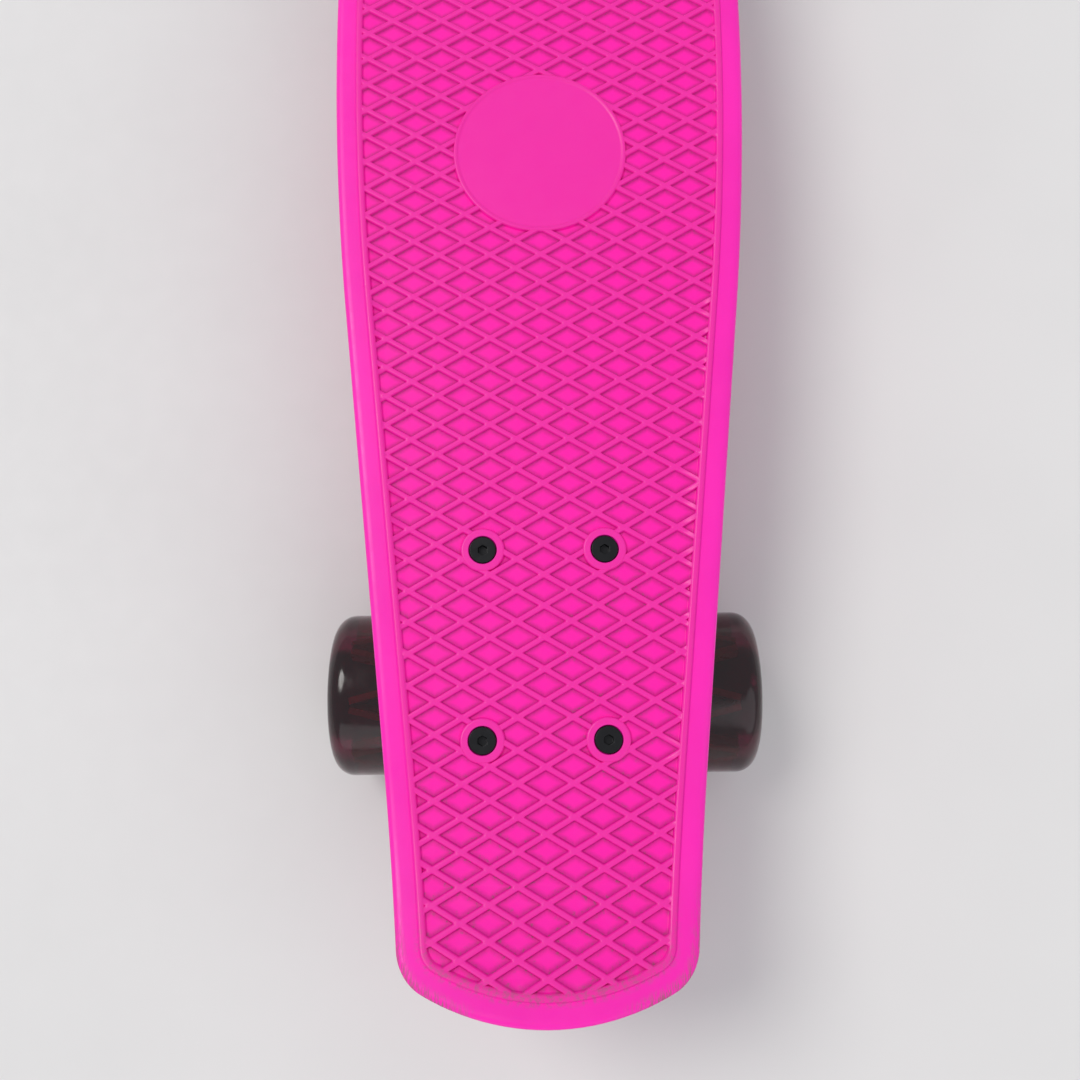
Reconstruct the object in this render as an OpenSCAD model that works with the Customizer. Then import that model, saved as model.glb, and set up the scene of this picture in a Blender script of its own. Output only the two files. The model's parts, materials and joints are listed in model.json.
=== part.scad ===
// Mini cruiser skateboard: a moulded plastic deck on two trucks with four bearing wheels.
// +X points to the nose, the wheels turn about Y, +Z is up.
// The origin is on the ground, half way along the board.

/* [Deck] */
// Overall length of the deck
deck_len = 559; // [500:1:672]
// Width of the deck at its widest point
deck_w = 152; // [142:1:184]
// Depth of the deck's edge, from the top of the tread to the truck pads
deck_t = 9; // [8:0.5:14]
// Thickness of the moulded top plate
plate_t = 4; // [3:0.25:6]
// Thickness of the skirt around the edge
skirt_t = 4.5; // [3:0.25:8]
// Height of the raised tread, rims and rings on the top
tread_h = 1; // [0.4:0.1:1.5]
// Width of the smooth band outside the raised border
band_w = 7.6; // [4:0.2:12]
// Width of the raised border line
border_w = 2.4; // [1.5:0.1:4]
// Diameter of the plain round disc in the top
disc_d = 63; // [40:1:80]
// Distance of the disc from the rear bolt pattern
disc_ahead = 180; // [150:1:210]

/* [Outline] */
// Distance of the widest point from the middle of the deck, towards the nose
widest_ahead = 77; // [40:1:110]
// Radius of the long side curve behind the widest point
side_r_tail = 1150; // [900:10:1600]
// Radius of the long side curve ahead of the widest point
side_r_nose = 1040; // [900:10:1600]
// Angle at which the straight sides narrow towards the tail
taper_ang = 6; // [4:0.1:7]
// Radius of the slightly round tail end
tail_end_r = 84; // [70:1:140]
// Radius of the two tail corners
tail_corner_r = 16; // [10:1:24]
// Radius of the nose tip
nose_end_r = 80; // [76:1:110]
// Radius of the two nose shoulders
nose_corner_r = 34; // [20:1:45]
// Radius of the kicktail's upward bend
kick_r = 200; // [150:5:400]
// Radius of the slight lift at the nose
lift_r = 300; // [200:5:800]

/* [Deck bolts] */
// Spacing of the truck bolts across the board
bolt_span_y = 41.3; // [38:0.1:44]
// Spacing of the truck bolts along the board
bolt_span_x = 63.5; // [53.9:0.1:66]
// Distance of the rear bolt pattern from the tail end
tail_overhang = 117.5; // [110:0.5:135]
// Distance of the front bolt pattern from the nose tip
nose_overhang = 81; // [76:0.5:110]
// Diameter of the deck bolts
bolt_d = 4.8; // [4:0.1:5]
// Diameter of the countersunk bolt heads
bolt_head_d = 9; // [8:0.1:9.4]
// Outer diameter of the raised ring around each bolt
bolt_ring_d = 14.7; // [12:0.1:18]
// Width of the deck nuts across their flats
deck_nut_af = 9.5; // [8:0.1:10]
// Height of the deck nuts
deck_nut_h = 5; // [4:0.1:6]

/* [Wheels] */
// Diameter of a wheel
wheel_d = 59; // [56:0.2:71]
// Width of a wheel
wheel_w = 45; // [42:0.5:50]
// Radius of the round shoulders of a wheel
shoulder_r = 7; // [3:0.5:9]
// Outer diameter of the wheel's hard core
core_d = 33; // [30:0.5:36]
// How far the core's braces reach into the soft tyre
brace_h = 6; // [3:0.5:8]
// Thickness of the core's braces
brace_t = 2.2; // [1.2:0.1:3]
// Number of V shaped braces around a core
brace_count = 7; // [5:1:9]

/* [Bearings] */
// Outer diameter of a bearing
bearing_d = 22; // [20:0.5:24]
// Width of a bearing
bearing_w = 7; // [6.5:0.1:8]
// Diameter of the axle and of the bearing bore
axle_d = 8; // [6:0.1:8]
// Diameter of the circle that the ball centres lie on
ball_circle_d = 15; // [14.5:0.1:15.5]
// Diameter of a bearing ball
ball_d = 3.969; // [3:0.001:4.2]
// Number of balls in a bearing
ball_count = 7; // [6:1:8]
// Length of the spacer tube between the two bearings
spacer_len = 10; // [8:0.5:12]

/* [Trucks] */
// Height from the axle up to the underside of the deck
truck_h = 42; // [41:0.5:50]
// Distance of the axle from the bolt pattern, towards the end of the board
axle_out = 13; // [12:0.5:16]
// Width of the hanger, up to the speed rings
hanger_w = 83; // [78:0.5:93]
// Thickness of the speed rings on both sides of a wheel
washer_t = 1; // [0.5:0.1:1.5]
// Length of the baseplate
plate_len = 77; // [74:0.5:79]
// Width of the baseplate
plate_w = 55; // [53:0.5:60]
// Thickness of the baseplate's flange
flange_t = 5; // [4:0.5:7]
// Angle of the kingpin from upright
king_ang = 20; // [14:1:22]
// Diameter of the kingpin
king_d = 9.5; // [8:0.1:10]
// Width of the kingpin's head and nut across their flats
king_af = 14.3; // [13:0.1:14.6]
// Diameter of the pivot stem of the hanger
stem_d = 11; // [9:0.5:12]
// Wall of the plastic cup around the pivot stem
cup_wall = 2.4; // [1.5:0.1:3]
// Depth of the pivot tip below the deck
tip_drop = 11; // [10.5:0.5:13]
// Distance of the pivot tip from the bolt pattern, towards the end of the board
tip_out = 28; // [27:0.5:29]
// Height of the bushing next to the board
board_bushing_h = 12; // [10:0.5:14]
// Height of the bushing next to the road
road_bushing_h = 10; // [8:0.5:12]
// Diameter of the bushings
bushing_d = 23; // [20:0.5:24]

/* [Hidden] */
$fn = 96;

// Clearances
fit = 0.02;        // radial, between parts pressed or clamped on a shaft
ball_gap = 0.045;  // radial, between a ball and its races
cup_gap = 0.05;    // radial, between the pivot stem and its cup
hole_gap = 0.4;    // on the diameter, between a bolt and its hole
side_gap = 0.2;    // between a bushing and the rim of its washer
bushing_gap = 0.1; // radial, between a bushing and the kingpin
over = 1;          // how far a cutter runs past a face

// Heights above the ground
axle_z = wheel_d / 2;
pad_z = axle_z + truck_h;
top_z = pad_z + deck_t;

// Lengthwise places
tail_x = -deck_len / 2;
nose_x = deck_len / 2;
rear_x = tail_x + tail_overhang;
front_x = nose_x - nose_overhang;
pad_len = plate_len + 2;
pad_w = plate_w + 3;
kick_x = rear_x - pad_len / 2 - 1;
lift_x = front_x + pad_len / 2 + 1;
disc_x = rear_x + disc_ahead;

// Underside ribs
rib_t = 2.2;
rib_pitch = 30;
rib_rise = 1.5;
rim_step = 1.2;
rim_drop = 1.3;
disc_low = 0.3;
root = 0.5; // how far a raised or hanging feature runs into the plate it grows from

// Direction helpers in the plane of the board
function unit(v) = v / norm(v);
function flip_y(p) = [p.x, -p.y];

// Centres of the curves that make the outline
half_w = deck_w / 2;
tail_side_c = [widest_ahead, half_w - side_r_tail];
nose_side_c = [widest_ahead, half_w - side_r_nose];
tail_end_c = [tail_x + tail_end_r, 0];
nose_end_c = [nose_x - nose_end_r, 0];
side_dir = [-cos(taper_ang), -sin(taper_ang)];
side_out = [-sin(taper_ang), cos(taper_ang)];
side_join = tail_side_c + side_r_tail * side_out;

// Centre of a tail corner: as far from the straight side as its radius, and inside the end curve
tail_start = side_join - tail_corner_r * side_out - tail_end_c;
tail_run = -(tail_start * side_dir)
    + sqrt((tail_start * side_dir) ^ 2 - tail_start * tail_start + (tail_end_r - tail_corner_r) ^ 2);
tail_corner_c = tail_end_c + tail_start + tail_run * side_dir;

// Centre of a nose shoulder: it touches the long side curve and the nose curve from inside
nose_gap = norm(nose_end_c - nose_side_c);
nose_far = side_r_nose - nose_corner_r;
nose_near = nose_end_r - nose_corner_r;
nose_along = (nose_far ^ 2 - nose_near ^ 2 + nose_gap ^ 2) / (2 * nose_gap);
nose_off = sqrt(nose_far ^ 2 - nose_along ^ 2);
nose_dir = unit(nose_end_c - nose_side_c);
nose_corner_c = nose_side_c + nose_along * nose_dir + nose_off * [nose_dir.y, -nose_dir.x];

// Deck bolts and nuts
bolt_sink = 1.2;
bolt_cone = 2.4;
bolt_tail = 1.5;
head_hole = bolt_head_d + 0.6;
head_low = 0.3;
head_rim = 0.7;
hex_af = 3;
hex_deep = 2;
nut_collar_h = 0.8;

// Wheel and bearing places, measured across the board
wheel_r = wheel_d / 2;
bearing_mid = spacer_len / 2 + bearing_w / 2;
bearing_face = spacer_len / 2 + bearing_w;
wheel_y = hanger_w / 2 + washer_t + bearing_face;
nut_y = wheel_y + bearing_face + washer_t;
axle_nut_h = 7;
axle_nut_af = 13;
axle_collar_h = 1.5;
axle_end_y = nut_y + axle_nut_h + 0.5;
core_half = 20;
brace_half = 15;
core_shoulder_r = bearing_d / 2 - 2;
race_land = 0.6;
ball_r = ball_d / 2;
ball_circle_r = ball_circle_d / 2;
groove_r = ball_r + ball_gap;
inner_land_r = ball_circle_r - ball_r + race_land;
outer_land_r = ball_circle_r + ball_r - race_land;
shield_t = 0.4;
shield_in = bearing_w / 2 - 0.75;
shield_r = outer_land_r + race_land;
cage_t = 1.2;
cage_low = 0.5;

// Truck places in a truck's own frame: X points to the end of the board, Z is 0 under the deck
king_back = 8;
king_bolt_gap = 0.3;
king_r = king_d / 2;
head_drop = 3.2 / cos(king_ang) + king_af / sqrt(3) * tan(king_ang) - 3;
head_h = 6;
seat_wall = 5;
king_seat = head_drop + head_h + seat_wall;
cup_washer_t = 1.5;
cup_washer_rim = 2.2;
ring_t = 5;
ring_r = 15;
ring_hole_r = king_r + 1.9;
ring_at = king_seat + cup_washer_t + board_bushing_h + ring_t / 2;
road_at = ring_at + ring_t / 2 + road_bushing_h;
nut_h = 8;
king_end = road_at + cup_washer_t + nut_h + 2;
king_x = axle_out - king_back;
ring_x = king_x - ring_at * sin(king_ang);
ring_z = -ring_at * cos(king_ang);
steer_run = tip_out - ring_x;
steer_rise = -tip_drop - ring_z;
steer_ang = atan2(steer_rise, steer_run);
steer_len = norm([steer_run, steer_rise]);
stem_in = 9;
stem_r = stem_d / 2;
cup_r = stem_r + cup_wall;
boss_r = cup_r + 3.2;
hub_r = 8;
hub_end_r = 7;
hub_taper = 14;
boss_over = 6; // how far the baseplate's slanted bosses run past its top face before they are cut flush
web_t = 8;
web_drop = 8.5;
web_back = 5;
web_short = 9;
arm_run = axle_out - ring_x;
arm_drop = -truck_h - ring_z;
arm_len = norm([arm_run, arm_drop]);
arm_ang = atan2(-arm_drop, arm_run);
arm_t = 7;
board_end_r = bushing_d / 2 - 1;
road_end_r = bushing_d / 2 - 2.5;
road_end_h = cup_washer_rim + 0.3;
bushing_room = bushing_d / 2 + 2;

deck_c = "#f23fae";
black_c = "#1c1c1f";
metal_c = "#b9bcc0";
steel_c = "#8d9299";
smoke_c = "#2a2230";
core_c = "#7a1420";
rubber_c = "#e9e4dc";

// ---------- deck ----------

// Points along an arc, from one angle to another
function arc(centre, radius, from_a, to_a, steps) =
    [for (i = [0:steps]) centre + radius * [cos(from_a + (to_a - from_a) * i / steps),
                                            sin(from_a + (to_a - from_a) * i / steps)]];
function angle_of(v) = atan2(v.y, v.x);

// Left half of the plan outline from the tail end to the nose tip, drawn in by an inset
function half_outline(inset) =
    let (
        tail_turn = angle_of(tail_corner_c - tail_end_c),
        side_turn = 90 + taper_ang,
        nose_turn = angle_of(nose_corner_c - nose_side_c),
        tip_turn = angle_of(nose_corner_c - nose_end_c)
    )
    concat(
        arc(tail_end_c, tail_end_r - inset, 180, tail_turn, 5),
        arc(tail_corner_c, tail_corner_r - inset, tail_turn, side_turn, 8),
        arc(tail_side_c, side_r_tail - inset, side_turn, 90, 7),
        arc(nose_side_c, side_r_nose - inset, 90, nose_turn, 9),
        arc(nose_corner_c, nose_corner_r - inset, nose_turn, tip_turn, 7),
        arc(nose_end_c, nose_end_r - inset, tip_turn, 0, 8)
    );

// Plan outline of the deck, with each arc's shared end point taken once
module outline(inset = 0) {
    half = half_outline(inset);
    left = [for (i = [0:len(half) - 2]) if (norm(half[i + 1] - half[i]) > 0.01) half[i]];
    polygon(concat(left, [half[len(half) - 1]], [for (i = [len(left) - 1:-1:1]) flip_y(left[i])]));
}

// Side view of a layer of the deck between two depths below the tread
module layer_side(from_d, to_d) {
    translate([kick_x, top_z - to_d]) square([lift_x - kick_x, to_d - from_d]);
    bend_side(kick_x, tail_x - over, kick_r, from_d, to_d);
    bend_side(lift_x, nose_x + over, lift_r, from_d, to_d);
}

// Side view of a bent end from flat_x to end_x: an arc between two depths, centred above flat_x
module bend_side(flat_x, end_x, radius, from_d, to_d) {
    intersection() {
        translate([flat_x, top_z + radius]) difference() {
            circle(radius + to_d);
            circle(radius + from_d);
        }
        translate([min(flat_x, end_x), top_z - to_d - over]) square([abs(end_x - flat_x), radius]);
    }
}

// A layer of the deck: the outline drawn in by inset, between two depths
module layer(inset, from_d, to_d) {
    intersection() {
        translate([0, 0, pad_z - over]) linear_extrude(height = kick_r) outline(inset);
        rotate([90, 0, 0]) linear_extrude(height = deck_w + 2 * over, center = true)
            layer_side(from_d, to_d);
    }
}

// Repeats its children at the four bolts of both trucks
module at_bolts() {
    for (x = [rear_x, front_x], along = [-0.5, 0.5], across = [-0.5, 0.5])
        translate([x + along * bolt_span_x, across * bolt_span_y, 0]) children();
}

module deck_ribs() {
    first = ceil((tail_x + skirt_t) / rib_pitch);
    last = floor((nose_x - skirt_t) / rib_pitch);
    for (i = [first:last])
        translate([i * rib_pitch - rib_t / 2, -half_w, pad_z - over]) cube([rib_t, deck_w, kick_r]);
    for (row = [-2:2])
        translate([tail_x, row * rib_pitch - rib_t / 2, pad_z - over]) cube([deck_len, rib_t, kick_r]);
}

module deck_pads() {
    for (x = [rear_x, front_x])
        translate([x - pad_len / 2, -pad_w / 2, pad_z]) cube([pad_len, pad_w, deck_t - plate_t]);
}

module deck() {
    ring_from = top_z - tread_h - root;
    color(deck_c) difference() {
        union() {
            difference() {
                layer(0, tread_h + rim_drop, deck_t);
                layer(skirt_t, plate_t, deck_t + over);
            }
            layer(rim_step, tread_h, plate_t + rim_drop);
            intersection() {
                layer(skirt_t - root, plate_t - root, deck_t - rib_rise);
                deck_ribs();
            }
            difference() {
                layer(band_w, 0, tread_h + root);
                layer(band_w + border_w, -over, tread_h + over);
            }
            deck_pads();
            at_bolts() translate([0, 0, ring_from]) cylinder(h = root + tread_h, d = bolt_ring_d);
            translate([disc_x, 0, ring_from]) cylinder(h = root + tread_h - disc_low, d = disc_d);
        }
        at_bolts() translate([0, 0, pad_z - over]) cylinder(h = deck_t + 2 * over, d = bolt_d + hole_gap);
        at_bolts() translate([0, 0, top_z - bolt_sink]) cylinder(h = bolt_sink + over, d = head_hole);
        at_bolts() translate([0, 0, top_z - bolt_sink - bolt_cone])
            cylinder(h = bolt_cone, d1 = bolt_d + hole_gap, d2 = head_hole);
    }
}

module deck_bolts() {
    under = pad_z - flange_t - deck_nut_h - bolt_tail;
    head_top = top_z - head_low;
    cone_top = head_top - head_rim;
    color(black_c) at_bolts() difference() {
        union() {
            translate([0, 0, under]) cylinder(h = cone_top - under, d = bolt_d);
            translate([0, 0, cone_top - bolt_cone])
                cylinder(h = bolt_cone, d1 = bolt_d, d2 = bolt_head_d);
            translate([0, 0, cone_top]) cylinder(h = head_top - cone_top, d = bolt_head_d);
        }
        translate([0, 0, head_top - hex_deep]) cylinder(h = hex_deep + over, d = hex_af / cos(30), $fn = 6);
    }
}

module deck_nuts() {
    color(steel_c) at_bolts() translate([0, 0, pad_z - flange_t - deck_nut_h]) difference() {
        union() {
            cylinder(h = deck_nut_h, d = deck_nut_af / cos(30), $fn = 6);
            translate([0, 0, -nut_collar_h]) cylinder(h = nut_collar_h + root, d = deck_nut_af - 1.4);
        }
        translate([0, 0, -over]) cylinder(h = deck_nut_h + 2 * over, d = bolt_d + 2 * fit);
    }
}

// ---------- trucks ----------

// Puts a truck, drawn with X towards the end of the board, at the front or the rear
module place_truck(end) {
    translate([end == "front" ? front_x : rear_x, 0, pad_z])
        rotate([0, 0, end == "front" ? 0 : 180]) children();
}

// Kingpin axis: local -Z runs from the deck side down to the nut
module on_kingpin(along = 0) {
    translate([king_x, 0, 0]) rotate([0, king_ang, 0]) translate([0, 0, -along]) children();
}

// Steering axis: local Z runs from the hanger ring up to the pivot tip
module on_steer_axis(along = 0) {
    translate([ring_x, 0, ring_z]) rotate([0, 90 - steer_ang, 0]) translate([0, 0, along]) children();
}

module rounded_plate(length, width, radius, thickness) {
    linear_extrude(height = thickness) {
        square([length - 2 * radius, width], center = true);
        square([length, width - 2 * radius], center = true);
        for (x = [-1, 1], y = [-1, 1])
            translate([x * (length / 2 - radius), y * (width / 2 - radius)]) circle(radius);
    }
}

module baseplate(end) {
    color(metal_c) place_truck(end) difference() {
        union() {
            translate([0, 0, -flange_t]) rounded_plate(plate_len, plate_w, 8, flange_t);
            intersection() {
                union() {
                    on_kingpin(king_seat) cylinder(h = king_seat + boss_over, r = bushing_d / 2 + 0.5);
                    on_steer_axis(steer_len - stem_in)
                        cylinder(h = stem_in + cup_wall + boss_over, r = boss_r);
                    translate([king_x - web_back, -web_t / 2, -web_drop])
                        cube([tip_out - king_x - web_short + web_back, web_t, web_drop]);
                }
                translate([-plate_len / 2, -plate_w / 2, -truck_h]) cube([plate_len, plate_w, truck_h]);
            }
        }
        on_kingpin(king_seat + over) cylinder(h = king_seat + 2 * over, r = king_r + king_bolt_gap / 2);
        on_kingpin(head_drop + head_h)
            cylinder(h = head_drop + head_h + 2 * boss_over, d = (king_af + king_bolt_gap) / cos(30), $fn = 6);
        on_steer_axis(steer_len - stem_in - over) cylinder(h = stem_in + over, r = cup_r + fit);
        on_steer_axis(steer_len) cylinder(h = cup_wall, r = cup_r + fit);
        for (along = [-0.5, 0.5], across = [-0.5, 0.5])
            translate([along * bolt_span_x, across * bolt_span_y, -flange_t - over])
                cylinder(h = flange_t + 2 * over, d = bolt_d + hole_gap);
    }
}

module pivot_cup(end) {
    color(rubber_c) place_truck(end) on_steer_axis(steer_len - stem_in) difference() {
        cylinder(h = stem_in + cup_wall, r = cup_r);
        translate([0, 0, -over]) cylinder(h = over + stem_in - stem_r, r = stem_r + cup_gap);
        translate([0, 0, stem_in - stem_r]) sphere(stem_r + cup_gap);
    }
}

module kingpin(end) {
    color(steel_c) place_truck(end) {
        on_kingpin(head_drop + head_h) cylinder(h = head_h, d = king_af / cos(30), $fn = 6);
        on_kingpin(king_end) cylinder(h = king_end - head_drop - over, r = king_r);
    }
}

// Cup washer: a flat disc with a low rim around the bushing, opening downwards
module cup_washer(radius) {
    color(steel_c) difference() {
        translate([0, 0, -cup_washer_rim]) cylinder(h = cup_washer_t + cup_washer_rim, r = radius + 1);
        translate([0, 0, -cup_washer_rim - over]) cylinder(h = cup_washer_rim + over, r = radius + side_gap);
        translate([0, 0, -over]) cylinder(h = cup_washer_t + 2 * over, r = king_r + fit);
    }
}

module board_washer(end) {
    place_truck(end) on_kingpin(king_seat + cup_washer_t) cup_washer(board_end_r);
}

module road_washer(end) {
    place_truck(end) on_kingpin(road_at) mirror([0, 0, 1]) cup_washer(road_end_r);
}

// Barrel bushing between the baseplate and the hanger ring
module board_bushing(end) {
    color(rubber_c) place_truck(end) on_kingpin(ring_at - ring_t / 2) difference() {
        union() {
            cylinder(h = board_bushing_h, r = board_end_r);
            translate([0, 0, 1]) cylinder(h = board_bushing_h - cup_washer_rim - 2, r = bushing_d / 2);
        }
        translate([0, 0, -over]) cylinder(h = board_bushing_h + 2 * over, r = king_r + bushing_gap);
    }
}

// Cone bushing between the hanger ring and the road side washer
module road_bushing(end) {
    color(rubber_c) place_truck(end) on_kingpin(road_at) difference() {
        union() {
            cylinder(h = road_end_h, r = road_end_r);
            translate([0, 0, road_end_h])
                cylinder(h = road_bushing_h - road_end_h, r1 = road_end_r, r2 = bushing_d / 2);
        }
        translate([0, 0, -over]) cylinder(h = road_bushing_h + 2 * over, r = king_r + bushing_gap);
    }
}

module kingpin_nut(end) {
    color(steel_c) place_truck(end) on_kingpin(road_at + cup_washer_t + nut_h) difference() {
        cylinder(h = nut_h, d = king_af / cos(30), $fn = 6);
        translate([0, 0, -over]) cylinder(h = nut_h + 2 * over, r = king_r + fit);
    }
}

// The cast arm from the ring to the axle, with its web up to the pivot stem
module hanger_body() {
    waist = arm_len * 0.6;
    waist_r = ring_r + 4;
    hub_from = hanger_w / 2 - hub_taper;
    stem_from = steer_len - stem_in - 16;
    stem_to = steer_len - stem_in - 1.5;
    steer_dir = [cos(steer_ang), sin(steer_ang)];
    stem_foot = [ring_x, ring_z] + stem_from * steer_dir;
    stem_neck = [ring_x, ring_z] + stem_to * steer_dir;
    translate([ring_x, 0, ring_z]) rotate([0, arm_ang, 0])
        linear_extrude(height = arm_t, center = true) polygon([
            [0, -ring_r], [waist, -waist_r], [arm_len, -hub_from],
            [arm_len, hub_from], [waist, waist_r], [0, ring_r]
        ]);
    rotate([90, 0, 0]) linear_extrude(height = stem_d, center = true) polygon([
        [axle_out - hub_r + 1, -truck_h], [axle_out + hub_r - 1.5, -truck_h],
        stem_neck + [1, -2.2], stem_neck, stem_foot
    ]);
    on_steer_axis() rotate_extrude() intersection() {
        union() {
            translate([0, stem_from]) square([stem_r, steer_len - stem_r - stem_from]);
            translate([0, steer_len - stem_r]) circle(stem_r);
        }
        translate([0, stem_from]) square([stem_r, steer_len - stem_from]);
    }
}

module hanger(end) {
    taper_from = hanger_w / 2 - hub_taper;
    color(metal_c) place_truck(end) difference() {
        union() {
            difference() {
                hanger_body();
                on_kingpin(ring_at - ring_t / 2) cylinder(h = truck_h, r = bushing_room);
                on_kingpin(ring_at + ring_t / 2 + truck_h) cylinder(h = truck_h, r = bushing_room);
            }
            on_kingpin(ring_at + ring_t / 2) cylinder(h = ring_t, r = ring_r);
            translate([axle_out, 0, -truck_h]) rotate([90, 0, 0]) rotate_extrude() polygon([
                [0, -hanger_w / 2], [hub_end_r, -hanger_w / 2], [hub_r, -taper_from],
                [hub_r, taper_from], [hub_end_r, hanger_w / 2], [0, hanger_w / 2]
            ]);
        }
        on_kingpin(ring_at + ring_t) cylinder(h = 2 * ring_t, r = ring_hole_r);
        translate([axle_out, 0, -truck_h]) rotate([90, 0, 0])
            cylinder(h = hanger_w + 2 * over, r = axle_d / 2 + fit, center = true);
    }
}

module axle(end) {
    color(steel_c) place_truck(end) translate([axle_out, 0, -truck_h]) rotate([90, 0, 0])
        cylinder(h = 2 * axle_end_y, d = axle_d, center = true);
}

module axle_nuts(end) {
    color(steel_c) place_truck(end) for (side = [-1, 1])
        translate([axle_out, side * nut_y, -truck_h]) rotate([-90 * side, 0, 0]) difference() {
            union() {
                cylinder(h = axle_nut_h - axle_collar_h, d = axle_nut_af / cos(30), $fn = 6);
                cylinder(h = axle_nut_h, d = axle_nut_af - 1.6);
            }
            translate([0, 0, -over]) cylinder(h = axle_nut_h + 2 * over, d = axle_d + 2 * fit);
        }
}

// ---------- wheels ----------

// Puts a wheel, drawn about the Z axis with +Z outward, on its axle
module place_wheel(end, side) {
    x = end == "front" ? front_x + axle_out : rear_x - axle_out;
    way = side == "left" ? 1 : -1;
    translate([x, way * wheel_y, axle_z]) rotate([-90 * way, 0, 0]) children();
}

// Repeats its children at the two bearings of a wheel
module at_bearings() {
    for (way = [-1, 1])
        translate([0, 0, way * bearing_mid]) children();
}

// Slanted braces around the core, in pairs that make a V
module braces() {
    brace_r = core_d / 2;
    step = 360 / brace_count;
    slant = atan2(PI * brace_r / brace_count, 2 * brace_half);
    for (i = [0:brace_count - 1], way = [-1, 1])
        rotate([0, 0, i * step + way * step / 4]) translate([brace_r + brace_h / 2 - 1, 0, 0])
            rotate([way * slant, 0, 0]) cube([brace_h + 2, brace_t, 2 * brace_half], center = true);
}

module tyre(end, side) {
    color(smoke_c) place_wheel(end, side) difference() {
        rotate_extrude() intersection() {
            union() {
                translate([0, -wheel_w / 2]) square([wheel_r - shoulder_r, wheel_w]);
                translate([0, -wheel_w / 2 + shoulder_r]) square([wheel_r, wheel_w - 2 * shoulder_r]);
                for (way = [-1, 1])
                    translate([wheel_r - shoulder_r, way * (wheel_w / 2 - shoulder_r)]) circle(shoulder_r);
            }
            translate([core_d / 2, -wheel_w / 2]) square([wheel_r - core_d / 2, wheel_w]);
        }
        braces();
    }
}

module core(end, side) {
    seat_r = bearing_d / 2 + fit;
    mouth_r = core_d / 2 - 1.6;
    color(core_c) place_wheel(end, side) {
        rotate_extrude() difference() {
            translate([core_shoulder_r, -core_half])
                square([core_d / 2 - core_shoulder_r, 2 * core_half]);
            for (way = [-1, 1])
                polygon([
                    [core_shoulder_r - over, way * spacer_len / 2], [seat_r, way * spacer_len / 2],
                    [seat_r, way * bearing_face], [mouth_r, way * core_half],
                    [mouth_r, way * (core_half + over)], [core_shoulder_r - over, way * (core_half + over)]
                ]);
        }
        difference() {
            braces();
            cylinder(h = 4 * brace_half, r = core_d / 2 - root, center = true);
        }
    }
}

module outer_races(end, side) {
    color(steel_c) place_wheel(end, side) at_bearings() rotate_extrude() difference() {
        translate([outer_land_r, -bearing_w / 2])
            square([bearing_d / 2 - outer_land_r, bearing_w]);
        translate([ball_circle_r, 0]) circle(groove_r);
        for (way = [-1, 1])
            translate([outer_land_r - over, way == 1 ? shield_in : -bearing_w / 2 - over])
                square([over + race_land, bearing_w / 2 - shield_in + over]);
    }
}

module inner_races(end, side) {
    color(steel_c) place_wheel(end, side) at_bearings() rotate_extrude() difference() {
        translate([axle_d / 2 + fit, -bearing_w / 2])
            square([inner_land_r - axle_d / 2 - fit, bearing_w]);
        translate([ball_circle_r, 0]) circle(groove_r);
    }
}

module shields(end, side) {
    color(black_c) place_wheel(end, side) at_bearings() for (way = [-1, 1])
        translate([0, 0, way * (shield_in + shield_t / 2)]) difference() {
            cylinder(h = shield_t, r = shield_r, center = true);
            cylinder(h = shield_t + over, r = inner_land_r + 0.25, center = true);
        }
}

module balls(end, side) {
    color(metal_c) place_wheel(end, side) at_bearings() {
        for (i = [0:ball_count - 1])
            rotate([0, 0, i * 360 / ball_count]) translate([ball_circle_r, 0, 0]) sphere(ball_r);
        difference() {
            rotate_extrude() translate([ball_circle_r - cage_t / 2, -cage_low])
                square([cage_t, cage_low + shield_in - side_gap]);
            for (i = [0:ball_count - 1])
                rotate([0, 0, i * 360 / ball_count]) translate([ball_circle_r, 0, 0]) sphere(ball_r + ball_gap);
        }
    }
}

module spacer(end, side) {
    color(metal_c) place_wheel(end, side) difference() {
        cylinder(h = spacer_len, r = axle_d / 2 + 2, center = true);
        cylinder(h = spacer_len + over, r = axle_d / 2 + fit, center = true);
    }
}

module speed_rings(end, side) {
    color(steel_c) place_wheel(end, side) for (way = [-1, 1])
        translate([0, 0, way * (bearing_face + washer_t / 2)]) difference() {
            cylinder(h = washer_t, r = axle_d / 2 + 1.8, center = true);
            cylinder(h = washer_t + over, r = axle_d / 2 + fit, center = true);
        }
}

deck();
deck_bolts();
deck_nuts();

baseplate("front");  // front_baseplate
pivot_cup("front");  // front_pivot_cup
kingpin("front");  // front_kingpin
board_washer("front");  // front_board_washer
board_bushing("front");  // front_board_bushing
hanger("front");  // front_hanger
road_bushing("front");  // front_road_bushing
road_washer("front");  // front_road_washer
kingpin_nut("front");  // front_kingpin_nut
axle("front");  // front_axle
axle_nuts("front");  // front_axle_nuts

baseplate("rear");  // rear_baseplate
pivot_cup("rear");  // rear_pivot_cup
kingpin("rear");  // rear_kingpin
board_washer("rear");  // rear_board_washer
board_bushing("rear");  // rear_board_bushing
hanger("rear");  // rear_hanger
road_bushing("rear");  // rear_road_bushing
road_washer("rear");  // rear_road_washer
kingpin_nut("rear");  // rear_kingpin_nut
axle("rear");  // rear_axle
axle_nuts("rear");  // rear_axle_nuts

tyre("front", "left");  // front_left_tyre
core("front", "left");  // front_left_core
outer_races("front", "left");  // front_left_outer_races
shields("front", "left");  // front_left_shields
balls("front", "left");  // front_left_balls
inner_races("front", "left");  // front_left_inner_races
spacer("front", "left");  // front_left_spacer
speed_rings("front", "left");  // front_left_speed_rings

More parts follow.
